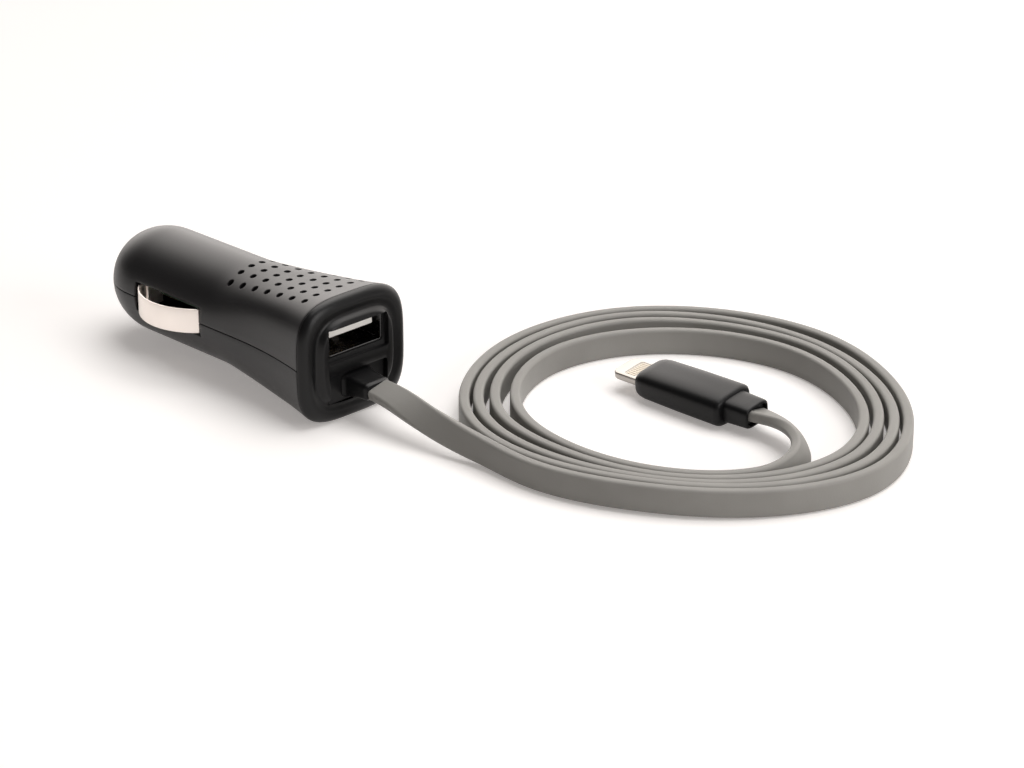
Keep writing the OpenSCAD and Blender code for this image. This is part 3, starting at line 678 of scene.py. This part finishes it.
def contact(name, sign, body, node):
    """Side contact on one side, with the roll of its fold."""
    line = contact_line()
    line[:, 1] *= sign
    a = 2 * np.pi * np.arange(24) / 24
    roll = np.stack([np.column_stack([X_FACE - 51.1 + 0.5 * np.cos(a),
                                      sign * 7.85 + 0.5 * np.sin(a), np.full(24, z)])
                     for z in (AXIS_Z - 2.4, AXIS_Z + 2.4)])
    obj = new_object(name, *join(strip(line, 4.8, 0.4, AXIS_Z), loft(roll)))
    outward(obj)
    finish_piece(obj, body, "plated_steel", nickel, node)


contact("contact_strip_left", -1, "left_leaf", "left_contact")
contact("contact_strip_right", 1, "right_leaf", "right_contact")

# %% [markdown]
# ## Strain relief and device plug
#
# Soft PVC is moulded over the cable where it leaves the cap, and over the device plug's end. Both
# are lofts of rounded sections. The plug's metal tip has a rounded outline and carries a pale
# insert with eight contacts on each side.

# %% Strain relief
OUT_Z = 6.9
relief_rows = [(2.7, 13.8, 5.7, 0.5), (1.05, 13.8, 5.7, 0.5), (0.9, 13.5, 5.4, 0.4)]
plate = loft([np.column_stack([np.full(28, X_FACE - b), q[:, 0], OUT_Z + q[:, 1]])
              for b, w, h, r in relief_rows for q in [rounded(w, h, r)]])
flange = loft(bar_sections([X_FACE - 2.6, X_FACE - 4.0], 15.0, 6.9, 0.6, OUT_Z))
anchor = loft(bar_sections([X_FACE - 3.9, X_FACE - 8.0], 8.0, 4.6, 0.6, OUT_Z))
boss_rows = []
for t in np.linspace(0, 1, 15):
    b = 1.2 - 6.2 * t
    k = smoothstep(t)
    e = 0.3 * np.clip((t - 0.93) / 0.07, 0, 1)
    foot = 0.5 * np.exp(-((t - 0.05) / 0.07) ** 2)
    boss_rows.append(ellipse_ring(X_FACE - b, (6.6 + (6.0 - 6.6) * k) / 2 - e + foot,
                                  (4.4 + (3.3 - 4.4) * k) / 2 - e + foot * 0.6, 4.5, OUT_Z, 64))
relief = new_object("cable_boot", *join(plate, flange, anchor, loft(boss_rows)))
outward(relief)
finish_piece(relief, "charger", "relief", pvc_black, "strain_relief")

# %% Device plug
PLUG_AT, PLUG_Z = np.array([86.9, 45.8]), 3.7
PLUG_TURN, PLUG_ROLL = np.radians(182.0), np.radians(-7.0)


def on_plug(p):
    """Moves plug points (along the plug, across, up) to its place, leaning on its near edge."""
    p = np.asarray(p, float)
    c, s = np.cos(PLUG_TURN), np.sin(PLUG_TURN)
    across = np.cos(PLUG_ROLL) * p[..., 1] - np.sin(PLUG_ROLL) * p[..., 2]
    up = np.sin(PLUG_ROLL) * p[..., 1] + np.cos(PLUG_ROLL) * p[..., 2]
    return np.stack([PLUG_AT[0] + c * p[..., 0] - s * across,
                     PLUG_AT[1] + s * p[..., 0] + c * across, PLUG_Z + up], -1)


def plug_loft(rows, n, m=64):
    """Loft of superellipse sections on the plug, each (along, half width, half height)."""
    return loft(np.stack([on_plug(ellipse_ring(x, w, h, n, 0.0, m)) for x, w, h in rows]))


collar = new_object("plug_sleeve", *plug_loft(
    [(0.7, 2.6, 1.5), (0.1, 2.7, 1.6), (0.0, 2.8, 1.7), (0.02, 2.95, 1.86), (0.15, 3.12, 2.04),
     (0.4, 3.2, 2.14), (2.0, 3.26, 2.2), (3.8, 3.32, 2.26), (5.4, 3.4, 2.3)], 4.0))
FROM = 5.4
body_rows = [(0.0, 1.0), (0.06, 0.62), (0.25, 0.3), (0.6, 0.07), (1.0, 0.0), (10.2, 0.05),
             (18.1, 0.2), (19.3, 0.36), (19.95, 0.58), (20.36, 0.86), (20.5, 1.15)]
body = new_object("plug_grip", *plug_loft(
    [(FROM + x, 5.0 - e, 3.0 - e) for x, e in body_rows], 3.6, 96))
TIP_FROM, TIP_L, TIP_W = FROM + 20.5, 6.4, 6.7
PAD_MID, PAD_L = TIP_FROM + 2.5, 2.8


def tip_outline(e, steps=10):
    """Outline of the tip in plan, set in by e: straight root and two round corners."""
    r, a = 1.6 - e, np.radians(np.linspace(0, 90, steps))
    x, y = TIP_L - e - r, TIP_W / 2 - e - r
    right = np.column_stack([x + r * np.sin(a), -y - r * np.cos(a)])
    left = np.column_stack([x + r * np.cos(a), y + r * np.sin(a)])
    return np.concatenate([[[0, -TIP_W / 2 + e]], right, left, [[0, TIP_W / 2 - e]]])


tip_rows = [np.column_stack([TIP_FROM + q[:, 0], q[:, 1], np.full(len(q), z)])
            for z, e in ((-0.75, 0.3), (-0.68, 0.12), (-0.5, 0.0), (0.5, 0.0), (0.68, 0.12),
                         (0.75, 0.3)) for q in [tip_outline(e)]]
tip = new_object("plug_blade", *loft(on_plug(np.stack(tip_rows))))
outward(tip)


def pocket(sign):
    """Cutter for the insert's recess on one face of the tip."""
    q = rounded(PAD_L, 5.2, 0.5, 5) + np.array([PAD_MID, 0])
    zs = np.array([0.5, 1.5]) * sign
    return new_object("cutter", *loft(on_plug(np.stack(
        [np.column_stack([q, np.full(len(q), z)]) for z in zs]))))


cut(tip, pocket(1), pocket(-1))
inserts, pads = [], []
for sign in (-1, 1):
    q = rounded(PAD_L - 0.05, 5.15, 0.48, 5) + np.array([PAD_MID, 0])
    inserts.append(loft(on_plug(np.stack([np.column_stack([q, np.full(len(q), z * sign)])
                                          for z in (0.49, 0.68)]))))
    step = TIP_W * 0.72 / 8
    for k in range(8):
        q = rounded(PAD_L - 0.8, step * 0.62, 0.12, 3) + np.array([PAD_MID, (k - 3.5) * step])
        pads.append(loft(on_plug(np.stack([np.column_stack([q, np.full(len(q), z * sign)])
                                           for z in (0.66, 0.72, 0.74)]))))
insert = new_object("plug_window", *join(*inserts))
contacts = new_object("plug_pads", *join(*pads))
for obj in (collar, body, insert, contacts):
    outward(obj)
finish_piece(collar, "charger", "plug", pvc_black, "plug_collar")
finish_piece(body, "charger", "plug", pvc_black, "plug_body")
finish_piece(tip, "charger", "plug_metal", tip_metal, "plug_tip")
finish_piece(insert, "charger", "insert", insert_white, "plug_inserts")
finish_piece(contacts, "charger", "contact_brass", champagne, "plug_contacts")

# %% [markdown]
# ## USB port
#
# The port's shell is folded from steel sheet 0.3 mm thick, with two spring leaves in its floor
# that grip the plug. A white tongue near its top carries the four contacts on its underside.

# %% USB port
USB_Z, USB_W, USB_H = 16.1, 13.1, 5.7
front, back = X_FACE - 1.0, X_FACE - 15.0
outer = bar_sections([back, front - 0.08, front], USB_W, USB_H, 0.6, USB_Z, [0, 0, 0.06])
inner = bar_sections([front, front - 0.08, back + 0.3], USB_W, USB_H, 0.6, USB_Z,
                     [0.22, 0.3, 0.3])
port = new_object("port_sleeve", *loft(np.concatenate([outer, inner])))
outward(port)
leaf_cuts = []
for s in (-1, 1):
    q = rounded(5.6, 2.8, 0.3, 4) + np.array([front - 5.2, s * 3.0])
    leaf_cuts.append(new_object("cutter", *loft(np.stack(
        [np.column_stack([q, np.full(len(q), z)]) for z in (USB_Z - 4, USB_Z - 2.3)]))))
cut(port, *leaf_cuts)
x_leaf = np.array([0.3, 0.0, -0.8, -1.8, -2.6, -3.3, -4.2, -5.0])
z_leaf = np.array([0.15, 0.15, 0.45, 0.85, 1.05, 1.0, 0.8, 0.55])
leaves = []
for s in (-1, 1):
    q = rounded(2.0, 0.3, 0.08, 3)
    leaves.append(loft(np.stack([np.column_stack([
        np.full(len(q), front - 2.4 + x), s * 3.0 + q[:, 0], USB_Z - USB_H / 2 + z + q[:, 1]])
        for x, z in zip(x_leaf, z_leaf)])))
leaf_obj = new_object("leaves", *join(*leaves))
outward(leaf_obj)
with bpy.context.temp_override(active_object=port, selected_editable_objects=[port, leaf_obj]):
    bpy.ops.object.join()
finish_piece(port, "charger", "port_steel", steel, "usb_shell")
tongue_top = USB_Z + USB_H / 2 - 0.3 - 0.5
blade = bar_sections([X_FACE - 2.3, X_FACE - 2.5, X_FACE - 14.7], 11.1, 1.84, 0.25,
                     tongue_top - 0.92, [0.2, 0, 0])
block = bar_sections([X_FACE - 10.9, X_FACE - 14.7], 11.7, 5.1, 0.2, USB_Z)
tongue = new_object("port_tongue", *join(loft(blade), loft(block)))
outward(tongue)
finish_piece(tongue, "charger", "tongue", white, "usb_tongue")

# %% [markdown]
# ## Pieces kept from CAD
#
# What lies inside is seen only through the vents, the slots and the port, so the CAD pieces stay
# as they are and take a material of their own.

# %% Materials of the kept pieces
kept = {"centre_pin": nickel, "pin_spring": wire, "pin_cup": brass, "circuit_board": solder_mask,
        "usb_contacts": brass, "inductor": moulded_part, "input_capacitor": can,
        "output_capacitor": can, "regulator_chip": moulded_part, "rectifier_diode": moulded_part,
        "chip_resistors": moulded_part}
for node_name, material in kept.items():
    node_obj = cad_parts[node_name]
    node_obj.data.materials.clear()
    node_obj.data.materials.append(material)
    print(node_name, "->", material.name)

# %% [markdown]
# ## Floor and light
#
# The object lies on a plain white sweep. One wide soft light hangs almost over it and a little
# behind, so the shadows are soft and short. A weak second light stands to the right and fills the
# faces that look out of the cap. Mirrors see the room pale behind the object and dark in front of
# it, so that the tops shine and the shoulders of the barrel stay dark. The floor shows some white
# of its own to the camera and keeps the shadows.

# %% Floor, lights and world
floor = new_object("floor", [[-3000, -3000, 0], [3000, -3000, 0], [3000, 3000, 0],
                             [-3000, 3000, 0]], [[0, 1, 2, 3]])
floor_mat = surface("white paper sweep", "#f4f2f1", 0.9, grain_mm=2.0, bump=0.02, vary=0.004,
                    patch_mm=400.0, spec=0.1)
floor.data.materials.append(floor_mat)


def camera_glow(mat, strength):
    """Adds a little white to what the camera and mirrors see of a material."""
    tree = mat.node_tree
    shader = next(n for n in tree.nodes if n.type == "BSDF_PRINCIPLED")
    path = add(tree, "ShaderNodeLightPath")
    seen = add(tree, "ShaderNodeMath", operation="MAXIMUM")
    tree.links.new(path.outputs["Is Camera Ray"], seen.inputs[0])
    tree.links.new(path.outputs["Is Glossy Ray"], seen.inputs[1])
    gain = add(tree, "ShaderNodeMath", operation="MULTIPLY")
    tree.links.new(seen.outputs[0], gain.inputs[0])
    gain.inputs[1].default_value = strength
    shader.inputs["Emission Color"].default_value = (1.0, 0.95, 0.92, 1.0)
    tree.links.new(gain.outputs[0], shader.inputs["Emission Strength"])


camera_glow(floor_mat, 0.28)


def area_light(name, place_mm, aim_mm, size_mm, power, colour=(1, 1, 1)):
    """Rectangular soft light at a place, turned to a point."""
    data = bpy.data.lights.new(name, "AREA")
    data.shape = "RECTANGLE"
    data.size, data.size_y = size_mm[0] * MM, size_mm[1] * MM
    data.energy = power
    data.color = colour
    obj = bpy.data.objects.new(name, data)
    bpy.context.scene.collection.objects.link(obj)
    obj.location = Vector(place_mm) * MM
    aim = Vector(aim_mm) * MM - obj.location
    obj.rotation_euler = aim.to_track_quat("-Z", "Y").to_euler()
    return obj


area_light("softbox", (110, 250, 850), (40, 30, 0), (1000, 760), 7.1, (1.0, 0.985, 0.97))
area_light("fill", (700, 150, 250), (40, 20, 0), (400, 400), 2.0, (1.0, 0.985, 0.97))


def blend(tree, factor, first, second, kind="FLOAT"):
    """Output of a node that goes from the first value to the second with the factor."""
    node = add(tree, "ShaderNodeMix", data_type=kind)
    ends = {"FLOAT": (2, 3), "RGBA": (6, 7)}[kind]
    tree.links.new(factor, node.inputs[0])
    for place, value in zip(ends, (first, second)):
        if isinstance(value, bpy.types.NodeSocket):
            tree.links.new(value, node.inputs[place])
        else:
            node.inputs[place].default_value = value
    return node.outputs[0 if kind == "FLOAT" else 2]


def room(dark, pale, towards, ambient):
    """World that mirrors see pale on one side and dark on the other, white to the camera."""
    world = bpy.data.worlds.new("room")
    bpy.context.scene.world = world
    world.use_nodes = True
    tree = world.node_tree
    tree.nodes.clear()
    where = add(tree, "ShaderNodeTexCoord")
    side = add(tree, "ShaderNodeVectorMath", operation="DOT_PRODUCT")
    tree.links.new(where.outputs["Generated"], side.inputs[0])
    side.inputs[1].default_value = Vector(towards).normalized()
    level = add(tree, "ShaderNodeMapRange", Value=side.outputs["Value"],
                interpolation_type="SMOOTHSTEP")
    level.inputs["From Min"].default_value = 0.3
    level.inputs["From Max"].default_value = 0.85
    level.inputs["To Min"].default_value = dark
    level.inputs["To Max"].default_value = pale
    path = add(tree, "ShaderNodeLightPath")
    mirrored = blend(tree, path.outputs["Is Glossy Ray"], ambient, level.outputs[0])
    strength = blend(tree, path.outputs["Is Camera Ray"], mirrored, 1.0)
    colour = blend(tree, path.outputs["Is Camera Ray"], (1.0, 0.95, 0.91, 1.0),
                   (1.0, 1.0, 1.0, 1.0), "RGBA")
    sky = add(tree, "ShaderNodeBackground", Strength=strength, Color=colour)
    out = add(tree, "ShaderNodeOutputWorld")
    tree.links.new(sky.outputs[0], out.inputs["Surface"])


room(0.11, 2.8, (-0.45, 0.8, 0.4), 0.16)
bpy.context.scene.view_settings.view_transform = "Standard"
